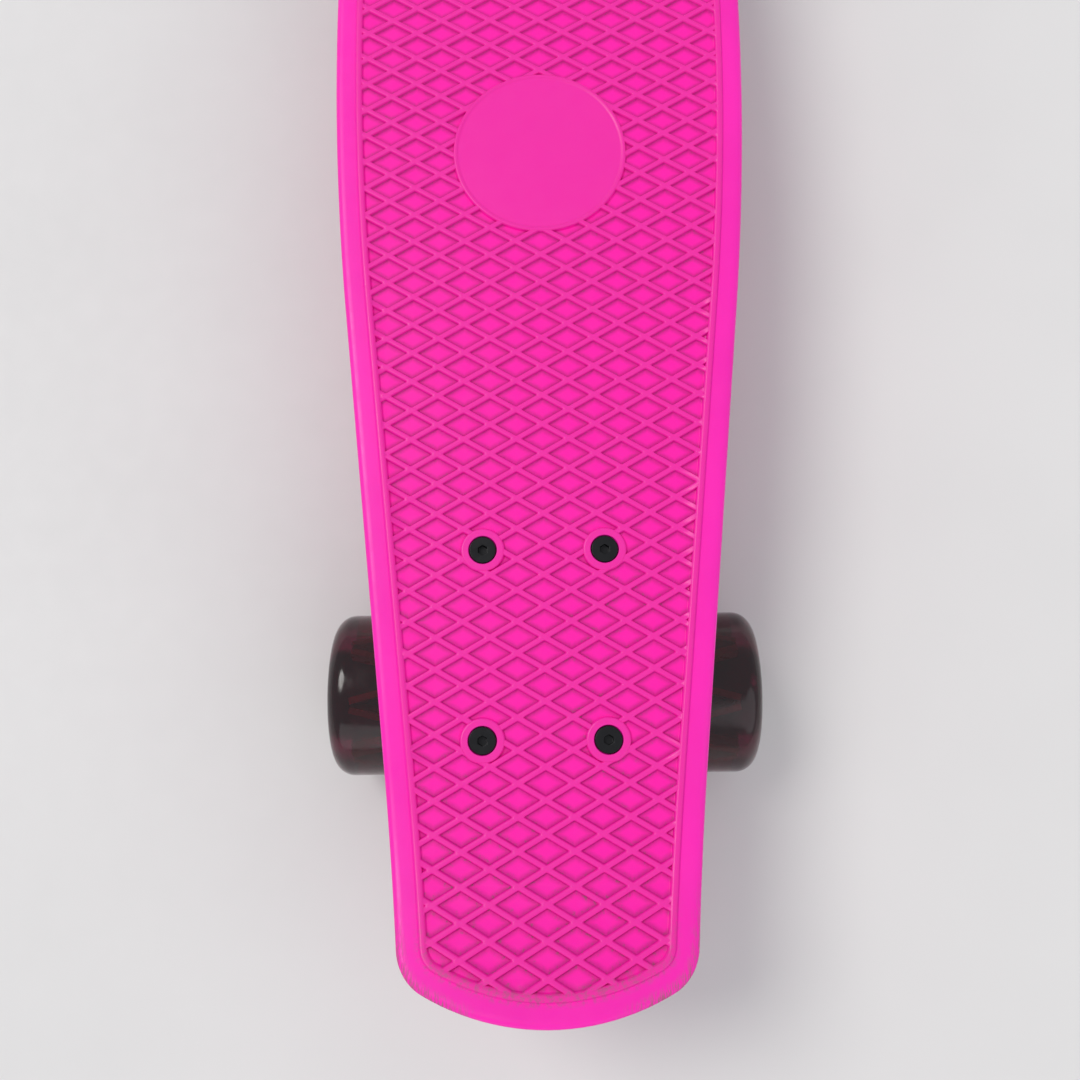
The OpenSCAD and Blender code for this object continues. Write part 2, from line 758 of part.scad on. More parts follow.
tyre("front", "right");  // front_right_tyre
core("front", "right");  // front_right_core
outer_races("front", "right");  // front_right_outer_races
shields("front", "right");  // front_right_shields
balls("front", "right");  // front_right_balls
inner_races("front", "right");  // front_right_inner_races
spacer("front", "right");  // front_right_spacer
speed_rings("front", "right");  // front_right_speed_rings

tyre("rear", "left");  // rear_left_tyre
core("rear", "left");  // rear_left_core
outer_races("rear", "left");  // rear_left_outer_races
shields("rear", "left");  // rear_left_shields
balls("rear", "left");  // rear_left_balls
inner_races("rear", "left");  // rear_left_inner_races
spacer("rear", "left");  // rear_left_spacer
speed_rings("rear", "left");  // rear_left_speed_rings

tyre("rear", "right");  // rear_right_tyre
core("rear", "right");  // rear_right_core
outer_races("rear", "right");  // rear_right_outer_races
shields("rear", "right");  // rear_right_shields
balls("rear", "right");  // rear_right_balls
inner_races("rear", "right");  // rear_right_inner_races
spacer("rear", "right");  // rear_right_spacer
speed_rings("rear", "right");  // rear_right_speed_rings
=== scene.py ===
"""Small cruiser skateboard: a moulded waffle deck on cast trucks with smoky urethane wheels.

Lengths inside the deck's shape are in millimetres, everything that reaches Blender is in metres.
"""

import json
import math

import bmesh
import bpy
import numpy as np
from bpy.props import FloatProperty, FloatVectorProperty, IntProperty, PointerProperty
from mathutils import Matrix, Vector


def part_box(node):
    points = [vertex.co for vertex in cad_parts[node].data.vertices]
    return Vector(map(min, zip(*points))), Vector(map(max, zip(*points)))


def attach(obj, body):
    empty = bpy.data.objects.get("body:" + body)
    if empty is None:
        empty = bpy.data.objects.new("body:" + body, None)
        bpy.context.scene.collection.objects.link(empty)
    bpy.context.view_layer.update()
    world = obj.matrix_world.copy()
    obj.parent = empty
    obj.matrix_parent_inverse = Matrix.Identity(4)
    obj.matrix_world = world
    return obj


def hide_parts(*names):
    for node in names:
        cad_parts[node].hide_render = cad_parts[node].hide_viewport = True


bl_info = {
    "name": "Cruiser Skateboard",
    "version": (1, 0, 0),
    "blender": (4, 5, 0),
    "location": "View3D > Sidebar > Cruiser",
    "description": "Builds the deck, trucks, wheels and hardware of a small cruiser skateboard",
    "category": "Add Mesh",
}

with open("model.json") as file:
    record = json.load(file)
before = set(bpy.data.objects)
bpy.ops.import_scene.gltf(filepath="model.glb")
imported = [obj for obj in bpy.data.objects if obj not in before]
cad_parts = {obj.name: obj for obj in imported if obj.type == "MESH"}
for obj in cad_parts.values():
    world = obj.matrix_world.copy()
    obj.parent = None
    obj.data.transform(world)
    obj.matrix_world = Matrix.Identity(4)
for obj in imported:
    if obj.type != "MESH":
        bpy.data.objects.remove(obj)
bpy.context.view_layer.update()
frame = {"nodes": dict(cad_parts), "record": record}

MM = 0.001
ENDS = ("front", "rear")
SIDES = ("left", "right")
CORNERS = [f"{end}_{side}" for end in ENDS for side in SIDES]


# ---------- places read from the frame, in millimetres ----------

def span(node, axis):
    """Lowest and highest coordinate of a CAD node along one axis."""
    low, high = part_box(node)
    return low[axis] / MM, high[axis] / MM


TAIL_X, NOSE_X = span("deck", 0)
HALF_W = span("deck", 1)[1]
PAD_Z = span("rear_baseplate", 2)[1]


# ---------- sizes and colours ----------

def size(name, about, value):
    """A length in millimetres that a user can change."""
    return FloatProperty(name=name, description=about, default=value, min=0.0, precision=2)


def tint(name, about, value):
    """A colour that a user can change."""
    return FloatVectorProperty(name=name, description=about, default=value, size=3,
                               subtype="COLOR", min=0.0, max=1.0)


class CruiserDeckProps(bpy.types.PropertyGroup):
    """Sizes and colours of the moulded deck."""
    deck_t: size("Edge depth", "From the tread's top to the truck pads", 9.0)
    plate_t: size("Plate thickness", "Thickness of the moulded top plate", 4.0)
    skirt_t: size("Skirt thickness", "Thickness of the skirt around the edge", 4.5)
    band_w: size("Band width", "Smooth band outside the raised border", 7.6)
    border_w: size("Border width", "Width of the raised border line", 2.4)
    ridge_h: size("Ridge height", "Height of the tread's ridges above their pockets", 1.15)
    cell_along: size("Cell length", "Length of a tread cell along the board", 10.57)
    cell_across: size("Cell width", "Width of a tread cell across the board", 18.15)
    tread_shift: size("Tread shift", "First ridge crossing ahead of the rear truck's middle", 2.1)
    widest_ahead: size("Widest point", "Distance of the widest point ahead of the middle", 77.0)
    side_r_tail: size("Rear side radius", "Radius of the side curve behind the widest point", 1150.0)
    side_r_nose: size("Front side radius", "Radius of the side curve ahead of the widest point", 1040.0)
    taper: FloatProperty(name="Taper",
                         description="Angle of the sides to the centre line at the tail's corners",
                         default=math.radians(6.0), subtype="ANGLE")
    tail_end_r: size("Tail end radius", "Radius of the slightly round tail end", 84.0)
    tail_corner_r: size("Tail corner radius", "Radius of the tail corners", 16.0)
    nose_end_r: size("Nose end radius", "Radius of the nose tip", 80.0)
    nose_corner_r: size("Nose shoulder radius", "Radius of the nose shoulders", 34.0)
    kick_r: size("Kicktail radius", "Radius of the kicktail's upward bend", 200.0)
    lift_r: size("Nose lift radius", "Radius of the slight lift at the nose", 300.0)
    disc_r: size("Disc radius", "Radius of the plain round disc", 31.5)
    disc_ahead: size("Disc place", "Distance of the disc ahead of the rear truck's middle", 180.0)
    ring_r: size("Bolt ring radius", "Outer radius of the raised ring around a bolt", 7.35)
    head_hole_r: size("Bolt hole radius", "Radius of the recess for a bolt's head", 4.8)
    shank_hole_r: size("Shank hole radius", "Radius of the hole for a bolt's shank", 2.6)
    rib_pitch: size("Rib pitch", "Spacing of the ribs under the deck", 30.0)
    rib_t: size("Rib thickness", "Thickness of the ribs under the deck", 2.2)
    pink: tint("Pink", "Colour of the smooth band, the edge and the underside", (0.95, 0.016, 0.45))
    dusty_pink: tint("Dusty pink", "Colour of the ridges, border, rings and disc, dulled by shoes",
                     (0.84, 0.022, 0.34))
    deep_pink: tint("Deep pink", "Colour of the tread's pockets", (0.96, 0.008, 0.4))
    # painted shade: this darker pink at the foot of the ridges stands in for the shade the ridges cast
    # into the pockets
    shadow_pink: tint("Shadow pink", "Colour at the foot of the tread's ridges", (0.5, 0.008, 0.2))
    dirt: tint("Dirt", "Colour of the dirt in the tread's pockets", (0.16, 0.1, 0.1))
    film: tint("Film", "Colour of the film beside the border at the tail", (0.2, 0.13, 0.14))
    scuffed: tint("Scuffs", "Colour of the scuffs on the tail's corners", (0.25, 0.13, 0.12))


class CruiserWheelProps(bpy.types.PropertyGroup):
    """Sizes and colours of the wheels and bearings."""
    shoulder_r: size("Shoulder radius", "Radius of a tyre's round shoulders", 7.0)
    face_dish: size("Face dish", "How far a tyre's face dips at the core", 1.3)
    core_gap: size("Core gap", "Hairline between a tyre's bore and its core", 0.02)
    segments: IntProperty(name="Segments", description="Steps around a tyre", default=128, min=24)
    smoke: tint("Smoke", "Colour of the see-through tyre", (0.13, 0.009, 0.035))
    core_red: tint("Core red", "Colour of the moulded core", (0.5, 0.012, 0.03))
    shield_black: tint("Shield black", "Colour of the bearing shields", (0.02, 0.02, 0.022))
    shield_grey: tint("Shield grey", "Colour of the shields' paler patches", (0.045, 0.045, 0.05))
    spacer: tint("Spacer", "Colour of the tubes between the bearings", (0.72, 0.73, 0.75))
    polished: tint("Polished steel", "Colour of the bearing races and balls", (0.76, 0.77, 0.79))


class CruiserTruckProps(bpy.types.PropertyGroup):
    """Sizes and colours of the trucks and their hardware."""
    voxel: FloatProperty(name="Casting grain", description="Cell size used to round the castings",
                         default=0.0007, unit="LENGTH", precision=5)
    edge: FloatProperty(name="Edge break", description="Width of the broken edges on hardware",
                        default=0.00028, unit="LENGTH", precision=5)
    soft_edge: FloatProperty(name="Bushing edge", description="Width of the broken edges on bushings",
                             default=0.0006, unit="LENGTH", precision=5)
    alloy: tint("Alloy", "Colour of the cast trucks", (0.62, 0.63, 0.65))
    stain: tint("Stain", "Colour of the dull spots on the cast trucks", (0.3, 0.29, 0.28))
    zinc: tint("Zinc", "Colour of the plated nuts, washers and speed rings", (0.66, 0.67, 0.7))
    steel: tint("Steel", "Colour of the kingpins; the axles are lighter", (0.42, 0.43, 0.45))
    oxide: tint("Black oxide", "Colour of the deck bolts", (0.016, 0.016, 0.018))
    urethane: tint("Urethane", "Colour of the bushings; the pivot cups are darker", (0.8, 0.77, 0.68))


class CruiserStageProps(bpy.types.PropertyGroup):
    """Camera, floor and lights."""
    lens: FloatProperty(name="Lens", description="Focal length in millimetres", default=36.65)
    camera_height: FloatProperty(name="Height", description="Camera above the deck's flat top",
                                 default=0.364, unit="LENGTH")
    camera_back: FloatProperty(name="Set back", description="Camera behind the rear truck's middle",
                               default=0.041, unit="LENGTH")
    camera_aside: FloatProperty(name="Aside", description="Camera left of the centre line",
                                default=0.0012, unit="LENGTH")
    tilt: FloatProperty(name="Tilt", description="Camera's lean from straight down to the nose",
                        default=math.radians(11.78), subtype="ANGLE")
    roll: FloatProperty(name="Roll", description="Camera's turn about its own axis",
                        default=math.radians(0.54), subtype="ANGLE")
    floor: tint("Floor", "Colour of the floor", (0.72, 0.71, 0.7))


# ---------- material building ----------

class Finish:
    """A material under construction, with short calls that add nodes to it."""

    def __init__(self, name):
        self.material = bpy.data.materials.new(name)
        self.material.use_nodes = True
        self.tree = self.material.node_tree
        self.shader = self.tree.nodes["Principled BSDF"]
        self.place = self.add("ShaderNodeTexCoord").outputs["Object"]

    def add(self, kind, **settings):
        """A new node with the given settings."""
        node = self.tree.nodes.new(kind)
        for key, value in settings.items():
            setattr(node, key, value)
        return node

    def link(self, source, target):
        """Joins an output to an input."""
        self.tree.links.new(source, target)
        return self

    def set(self, **sockets):
        """Constant values on the shader's own sockets, with _ for a space."""
        for key, value in sockets.items():
            self.shader.inputs[key.replace("_", " ")].default_value = value
        return self

    def noise(self, grain, detail=4.0, roughness=0.55, stretch=(1, 1, 1), distortion=0.0):
        """Cloudy pattern whose patches measure about grain metres."""
        mapping = self.add("ShaderNodeMapping")
        mapping.inputs["Scale"].default_value = stretch
        self.link(self.place, mapping.inputs["Vector"])
        node = self.add("ShaderNodeTexNoise")
        node.inputs["Scale"].default_value = 1 / grain
        node.inputs["Detail"].default_value = detail
        node.inputs["Roughness"].default_value = roughness
        node.inputs["Distortion"].default_value = distortion
        self.link(mapping.outputs["Vector"], node.inputs["Vector"])
        return node.outputs["Fac"]

    def cells(self, grain):
        """Distance pattern of scattered points about grain metres apart."""
        node = self.add("ShaderNodeTexVoronoi")
        node.inputs["Scale"].default_value = 1 / grain
        self.link(self.place, node.inputs["Vector"])
        return node.outputs["Distance"]

    def attribute(self, name):
        """A number stored on the mesh's points."""
        return self.add("ShaderNodeAttribute", attribute_name=name).outputs["Fac"]

    def coordinate(self, axis):
        """Place along X, Y or Z in metres."""
        parts = self.add("ShaderNodeSeparateXYZ")
        self.link(self.place, parts.inputs["Vector"])
        return parts.outputs[axis]

    def spread(self, value, from_low, from_high, to_low=0.0, to_high=1.0):
        """Maps a range of one value, clamped, onto another range."""
        node = self.add("ShaderNodeMapRange", interpolation_type="SMOOTHSTEP")
        self.link(value, node.inputs["Value"])
        node.inputs["From Min"].default_value = from_low
        node.inputs["From Max"].default_value = from_high
        node.inputs["To Min"].default_value = to_low
        node.inputs["To Max"].default_value = to_high
        return node.outputs["Result"]

    def maths(self, operation, first, second):
        """Sum, product and the like of two numbers or sockets."""
        node = self.add("ShaderNodeMath", operation=operation)
        for socket, value in zip(node.inputs, (first, second)):
            if isinstance(value, (int, float)):
                socket.default_value = value
            else:
                self.link(value, socket)
        return node.outputs["Value"]

    def mix(self, factor, first, second):
        """Colour between first and second; each is a colour or a socket."""
        node = self.add("ShaderNodeMix", data_type="RGBA")
        self.link(factor, node.inputs["Factor"])
        for label, value in (("A", first), ("B", second)):
            socket = [s for s in node.inputs if s.name == label and s.type == "RGBA"][0]
            if isinstance(value, bpy.types.NodeSocket):
                self.link(value, socket)
            else:
                socket.default_value = (*value[:3], 1)
        return [s for s in node.outputs if s.type == "RGBA"][0]

    def bump(self, height, distance, strength=1.0, under=None):
        """Surface relief of about distance metres, laid over an earlier relief."""
        node = self.add("ShaderNodeBump")
        node.inputs["Strength"].default_value = strength
        node.inputs["Distance"].default_value = distance
        self.link(height, node.inputs["Height"])
        if under:
            self.link(under, node.inputs["Normal"])
        return node.outputs["Normal"]

    def colour(self, socket):
        """Sets what the shader's colour follows."""
        return self.link(socket, self.shader.inputs["Base Color"])

    def roughness(self, socket):
        """Sets what the shader's roughness follows."""
        return self.link(socket, self.shader.inputs["Roughness"])

    def normal(self, socket):
        """Sets the shader's surface relief."""
        return self.link(socket, self.shader.inputs["Normal"])


def shade(colour, factor):
    """A colour made lighter or darker."""
    return tuple(min(1.0, c * factor) for c in colour)


def ridge_distance(m, deck):
    """Distance in metres from the middle of the tread's nearest ridge."""
    along, across = deck.cell_along * MM, deck.cell_across * MM
    origin = (truck_middles()[0] + deck.tread_shift) * MM
    x = m.maths("DIVIDE", m.maths("SUBTRACT", m.coordinate("X"), origin), along)
    y = m.maths("DIVIDE", m.coordinate("Y"), across)
    first = m.maths("PINGPONG", m.maths("ADD", x, y), 0.5)
    second = m.maths("PINGPONG", m.maths("SUBTRACT", x, y), 0.5)
    pitch = along * across / math.hypot(along, across)
    return m.maths("MULTIPLY", m.maths("MINIMUM", first, second), pitch)


def moulded_deck_finish(deck):
    """Pink polypropylene: dusty ridges, deep pockets with dirt in them and painted shade at the ridges'
    feet, scuffs on the tail's edge.
    """
    m = Finish("moulded pink polypropylene")
    depth = m.attribute("mould_depth")
    edge = m.attribute("edge_distance")
    patch = m.noise(0.045, 3)
    speck = m.noise(0.0016, 5, 0.7)
    scrape = m.noise(0.0011, 4, 0.7, stretch=(0.25, 1.6, 1))
    ridge = ridge_distance(m, deck)
    in_tread = m.spread(edge, deck.band_w - 0.2, deck.band_w + 0.4)
    raised = m.maths("MULTIPLY", in_tread, m.spread(depth, 0.2, 0.7, 1.0, 0.0))
    above = m.maths("MULTIPLY", in_tread, m.spread(depth, 1.5, 2.2, 1.0, 0.0))
    sunk = m.maths("MULTIPLY", above, m.spread(depth, 0.45, 0.95))
    cloudy = m.mix(m.spread(patch, 0.35, 0.7), deck.pink, shade(deck.pink, 0.94))
    body = m.mix(m.maths("MULTIPLY", raised, 0.85), cloudy, deck.dusty_pink)
    body = m.mix(sunk, body, deck.deep_pink)
    # painted shade: pockets darken towards the foot of the ridges, where the ridges shade them
    foot = m.maths("MULTIPLY", sunk, m.spread(ridge, 0.0008, 0.0032, 1.0, 0.0))
    shadow = m.maths("MULTIPLY", foot, m.spread(speck, 0.2, 0.75, 0.55, 0.95))
    body = m.mix(shadow, body, deck.shadow_pink)
    # dirt gathers at the ridges' feet, more of it towards the tail
    tailward = m.spread(m.coordinate("X"), (TAIL_X + 25) * MM, (TAIL_X + 190) * MM, 1.0, 0.4)
    grime = m.maths("MULTIPLY", foot, m.spread(speck, 0.56, 0.66))
    soil = m.maths("MULTIPLY", grime, m.maths("MULTIPLY", m.spread(patch, 0.4, 0.6), tailward))
    dirty = m.mix(m.maths("MULTIPLY", soil, 0.8), body, deck.dirt)
    # grey film beside the raised border at the tail
    at_tail = m.spread(m.coordinate("X"), (TAIL_X + 4) * MM, (TAIL_X + 46) * MM, 1.0, 0.0)
    beside = m.maths("MULTIPLY", m.spread(edge, 5.2, 7.4), m.spread(edge, 9.0, 12.5, 1.0, 0.0))
    film = m.maths("MULTIPLY", m.maths("MULTIPLY", beside, at_tail), m.spread(speck, 0.42, 0.66))
    filmed = m.mix(m.maths("MULTIPLY", film, 0.5), dirty, deck.film)
    # brown scuffs along the tail's outer corner edges
    rim = m.spread(edge, 0.6, 4.6, 1.0, 0.0)
    away = m.spread(m.maths("ABSOLUTE", m.coordinate("Y"), 0.0), 0.018, 0.034)
    rubbed = m.maths("MULTIPLY", m.maths("MULTIPLY", rim, at_tail), away)
    scuff = m.maths("MULTIPLY", rubbed, m.spread(scrape, 0.43, 0.6))
    m.colour(m.mix(m.maths("MULTIPLY", scuff, 0.8), filmed, deck.scuffed))
    gloss = m.spread(m.noise(0.006, 4), 0.3, 0.7, 0.3, 0.4)
    m.roughness(m.maths("ADD", gloss, m.maths("MULTIPLY", m.maths("ADD", scuff, soil), 0.3)))
    grain = m.bump(m.noise(0.0005, 2), 0.00002, 0.5)
    m.normal(m.bump(scuff, 0.00012, 0.5, m.bump(m.noise(0.02, 2), 0.0002, 0.35, grain)))
    m.set(Subsurface_Weight=0.1, Subsurface_Radius=(1.0, 0.25, 0.45), Subsurface_Scale=0.0016)
    m.set(Specular_IOR_Level=0.3)
    return m.material


def smoky_urethane_finish(wheel):
    """Nearly black see-through urethane, with the fine lathe lines of a turned tyre."""
    m = Finish("smoky urethane")
    cloud = m.noise(0.012, 3)
    m.colour(m.mix(m.spread(cloud, 0.35, 0.7), wheel.smoke, shade(wheel.smoke, 0.72)))
    m.roughness(m.spread(m.noise(0.004, 5), 0.3, 0.75, 0.1, 0.2))
    lines = m.noise(0.0009, 3, 0.6, stretch=(0.05, 3.0, 0.05))
    m.normal(m.bump(lines, 0.00003, 0.35, m.bump(m.noise(0.009, 2), 0.00025, 0.3)))
    m.set(Transmission_Weight=0.94, IOR=1.48, Specular_IOR_Level=0.12)
    return m.material


def red_core_finish(wheel):
    """Deep red glossy nylon with faint flow marks."""
    m = Finish("moulded red core")
    flow = m.noise(0.006, 3, stretch=(1, 0.3, 1), distortion=0.8)
    m.colour(m.mix(m.spread(flow, 0.35, 0.7), wheel.core_red, shade(wheel.core_red, 0.7)))
    m.roughness(m.spread(m.noise(0.003), 0.3, 0.7, 0.24, 0.36))
    m.normal(m.bump(m.noise(0.0006, 2), 0.00002, 0.4))
    m.set(Coat_Weight=0.15, Coat_Roughness=0.12)
    return m.material


def cast_alloy_finish(truck):
    """Tumbled die casting: satin, finely pitted, brighter where it rubs, with dull spots."""
    m = Finish("tumbled cast alloy")
    patch = m.noise(0.02, 4)
    convex = m.spread(m.add("ShaderNodeNewGeometry").outputs["Pointiness"], 0.47, 0.54)
    base = m.mix(m.spread(patch, 0.3, 0.7), truck.alloy, shade(truck.alloy, 0.82))
    stain = m.spread(m.noise(0.0045, 5, 0.65), 0.56, 0.72)
    stained = m.mix(m.maths("MULTIPLY", stain, 0.35), base, truck.stain)
    m.colour(m.mix(m.maths("MULTIPLY", convex, 0.35), stained, shade(truck.alloy, 1.25)))
    m.roughness(m.spread(m.noise(0.0025, 5), 0.3, 0.7, 0.34, 0.52))
    pits = m.spread(m.cells(0.0011), 0.0, 0.35)
    m.normal(m.bump(pits, 0.00004, 0.5, m.bump(m.noise(0.0016, 3), 0.00009, 0.6)))
    m.set(Metallic=1.0)
    return m.material


def steel_finish(name, colour, gloss, brush=(1, 1, 1), metallic=1.0, spots=0.25):
    """Machined or plated steel: fine tool lines, small dull spots and a slight colour drift."""
    m = Finish(name)
    drift = m.spread(m.noise(0.006, 4), 0.3, 0.7)
    base = m.mix(drift, colour, shade(colour, 0.78))
    dull = m.spread(m.noise(0.0022, 5, 0.7), 0.58, 0.72)
    m.colour(m.mix(m.maths("MULTIPLY", dull, spots), base, shade(colour, 0.45)))
    smear = m.spread(m.noise(0.003, 4), 0.3, 0.7, gloss, gloss + 0.12)
    m.roughness(m.maths("ADD", smear, m.maths("MULTIPLY", dull, 0.12)))
    tool = m.noise(0.0004, 2, stretch=brush)
    m.normal(m.bump(tool, 0.00002, 0.45))
    m.set(Metallic=metallic)
    return m.material


def shield_finish(wheel):
    """Matt black moulded rubber of a bearing shield."""
    m = Finish("bearing shield rubber")
    m.colour(m.mix(m.spread(m.noise(0.002), 0.35, 0.7), wheel.shield_black, wheel.shield_grey))
    m.roughness(m.spread(m.noise(0.001), 0.3, 0.7, 0.45, 0.62))
    m.normal(m.bump(m.noise(0.0004, 2), 0.00002, 0.5))
    return m.material


def urethane_finish(name, colour, glow):
    """Cast urethane or nylon: waxy, cloudy and slightly see-through."""
    m = Finish(name)
    m.colour(m.mix(m.spread(m.noise(0.005, 4), 0.3, 0.72), colour, shade(colour, 0.86)))
    m.roughness(m.spread(m.noise(0.002, 4), 0.3, 0.7, 0.3, 0.45))
    m.normal(m.bump(m.noise(0.0008, 3), 0.00004, 0.4))
    m.set(Subsurface_Weight=glow, Subsurface_Radius=(1.0, 0.8, 0.5), Subsurface_Scale=0.002)
    return m.material


def dress(nodes, material):
    """Gives carried-over CAD nodes a finish."""
    for name in nodes:
        mesh = frame["nodes"][name].data
        mesh.materials.clear()
        mesh.materials.append(material)


# ---------- mesh building ----------

def mesh_object(name, vertices, faces):
    """A new object from points and faces in scene units."""
    mesh = bpy.data.meshes.new(name)
    mesh.from_pydata(vertices, [], faces)
    mesh.update()
    piece = bpy.data.objects.new(name, mesh)
    bpy.context.scene.collection.objects.link(piece)
    return piece


def settle(piece):
    """Applies the piece's modifiers to its mesh."""
    graph = bpy.context.evaluated_depsgraph_get()
    mesh = bpy.data.meshes.new_from_object(piece.evaluated_get(graph))
    piece.modifiers.clear()
    old = piece.data
    piece.data = mesh
    bpy.data.meshes.remove(old)
    return piece


def combine(piece, other, operation):
    """Joins, cuts or clips a closed piece with another one, which is used up."""
    modifier = piece.modifiers.new("combine", "BOOLEAN")
    modifier.operation = operation
    modifier.solver = "MANIFOLD"
    modifier.object = other
    settle(piece)
    bpy.data.objects.remove(other)
    if not piece.data.polygons:
        raise RuntimeError(f"{piece.name} was lost by {operation}")
    return piece


def together(name, solids):
    """One object from several separate closed solids, each a pair of points and faces."""
    vertices, faces = [], []
    for points, polygons in solids:
        start = len(vertices)
        vertices += points
        faces += [[start + i for i in polygon] for polygon in polygons]
    return mesh_object(name, vertices, faces)


def stacked_loops(loops):
    """Closed skin over loops of equal length, from the first loop's cap to the last loop's."""
    count = len(loops[0])
    points = [p for loop in loops for p in loop]
    faces = [list(range(count))]
    for row in range(len(loops) - 1):
        low, high = row * count, (row + 1) * count
        for i in range(count):
            j = (i + 1) % count
            faces.append([low + i, high + i, high + j, low + j])
    faces.append([len(points) - 1 - i for i in range(count)])
    return points, faces


def turned(profile, centre, steps):
    """Solid turned about an upright axis from (radius, height) points, top first."""
    loops = []
    for radius, height in profile:
        turns = [2 * math.pi * i / steps for i in range(steps)]
        loops.append([(centre[0] + radius * math.cos(a), centre[1] + radius * math.sin(a), height)
                      for a in turns])
    return stacked_loops(loops)


def block(low, high):
    """Box between two corners."""
    corners = [(low[0], low[1]), (high[0], low[1]), (high[0], high[1]), (low[0], high[1])]
    return stacked_loops([[(x, y, high[2]) for x, y in corners],
                          [(x, y, low[2]) for x, y in corners]])


def smooth_by(piece, degrees, weighted=True):
    """Smooth shading that keeps edges sharper than an angle, with large faces kept flat."""
    mesh = piece.data
    mesh.shade_smooth()
    mesh.set_sharp_from_angle(angle=math.radians(degrees))
    if weighted:
        modifier = piece.modifiers.new("flat faces", "WEIGHTED_NORMAL")
        modifier.keep_sharp = True


# ---------- deck ----------

def arc(centre, radius, start, end, steps):
    """Points along an arc, without its first point."""
    turns = [start + (end - start) * (i + 1) / steps for i in range(steps)]
    return [(centre[0] + radius * math.cos(a), centre[1] + radius * math.sin(a)) for a in turns]


def outline_arcs(deck):
    """Centre, radius and end angles of the six arcs of the left side, tail to nose."""
    wide = deck.widest_ahead
    tail_side = Vector((wide, HALF_W - deck.side_r_tail))
    nose_side = Vector((wide, HALF_W - deck.side_r_nose))
    tail_end = Vector((TAIL_X + deck.tail_end_r, 0))
    nose_end = Vector((NOSE_X - deck.nose_end_r, 0))
    quarter = math.pi / 2
    along = Vector((-math.cos(deck.taper), -math.sin(deck.taper)))
    outward = Vector((-math.sin(deck.taper), math.cos(deck.taper)))
    start = tail_side + (deck.side_r_tail - deck.tail_corner_r) * outward - tail_end
    reach = deck.tail_end_r - deck.tail_corner_r
    part = start.dot(along)
    run = -part + math.sqrt(part ** 2 - start.dot(start) + reach ** 2)
    tail_corner = tail_end + start + run * along
    gap = (nose_end - nose_side).length
    far = deck.side_r_nose - deck.nose_corner_r
    near = deck.nose_end_r - deck.nose_corner_r
    forward = (far ** 2 - near ** 2 + gap ** 2) / (2 * gap)
    off = math.sqrt(far ** 2 - forward ** 2)
    way = (nose_end - nose_side) / gap
    nose_corner = nose_side + forward * way + off * Vector((way.y, -way.x))

    def angle(v):
        return math.atan2(v.y, v.x)

    tail_turn = angle(tail_corner - tail_end)
    side_turn = quarter + deck.taper
    nose_turn = angle(nose_corner - nose_side)
    tip_turn = angle(nose_corner - nose_end)
    return [
        (tail_end, deck.tail_end_r, math.pi, tail_turn, 12),
        (tail_corner, deck.tail_corner_r, tail_turn, side_turn, 12),
        (tail_side, deck.side_r_tail, side_turn, quarter, 30),
        (nose_side, deck.side_r_nose, quarter, nose_turn, 24),
        (nose_corner, deck.nose_corner_r, nose_turn, tip_turn, 10),
        (nose_end, deck.nose_end_r, tip_turn, 0.0, 12),
    ]


def outline(deck, inset):
    """Plan outline of the deck drawn in by an inset, anticlockwise seen from above."""
    left = [(TAIL_X + inset, 0.0)]
    for centre, radius, start, end, steps in outline_arcs(deck):
        left += arc(centre, radius - inset, start, end, steps)
    right = [(x, -y) for x, y in left[1:-1]]
    return list(reversed(left)) + right


def edge_distances(deck, plan):
    """Distance of each plan point from the deck's edge."""
    ring = np.array(outline(deck, 0.0))
    a, b = ring, np.roll(ring, -1, axis=0)
    best = np.full(len(plan), 1e9)
    for p, q in zip(a, b):
        step = q - p
        share = np.clip(((plan - p) @ step) / (step @ step), 0, 1)
        best = np.minimum(best, np.hypot(*(plan - p - share[:, None] * step).T))
    return best


def prism(name, deck, inset, low, high):
    """Upright solid of the deck's outline."""
    plan = outline(deck, inset)
    return together(name, [stacked_loops([[(x, y, high) for x, y in plan],
                                          [(x, y, low) for x, y in plan]])])


TREAD_FLOOR = 1.25    # depth of the pockets below the border's top
BAND_DROP = 1.0       # depth of the smooth band below the border's top
SEAT = 2.2            # depth that raised features reach down into the plate
LAYER_STEP = 0.1      # height between faces that would otherwise lie in one plane
RIB_RISE = 1.5        # how far the ribs' lower edges stay above the truck pads
PAD_ALONG = 1.0       # margin of a truck pad ahead of and behind its baseplate
PAD_ACROSS = 1.5      # margin of a truck pad beside its baseplate
BEND_CLEAR = 1.0      # flat stretch between a truck pad and the bend
BEND_STEP = 4.5       # spacing of the cuts that let the ends bend smoothly
BOLT_HEAD_R = 4.5     # radius of a deck bolt's head
RING_STEPS = 64       # steps around a bolt ring
DISC_STEPS = 160      # steps around the disc
# half of a ridge's section: distance from its middle, share of its height
RIDGE = [(0.6, 1.0), (0.82, 0.85), (0.98, 0.4), (1.3, 0.0)]


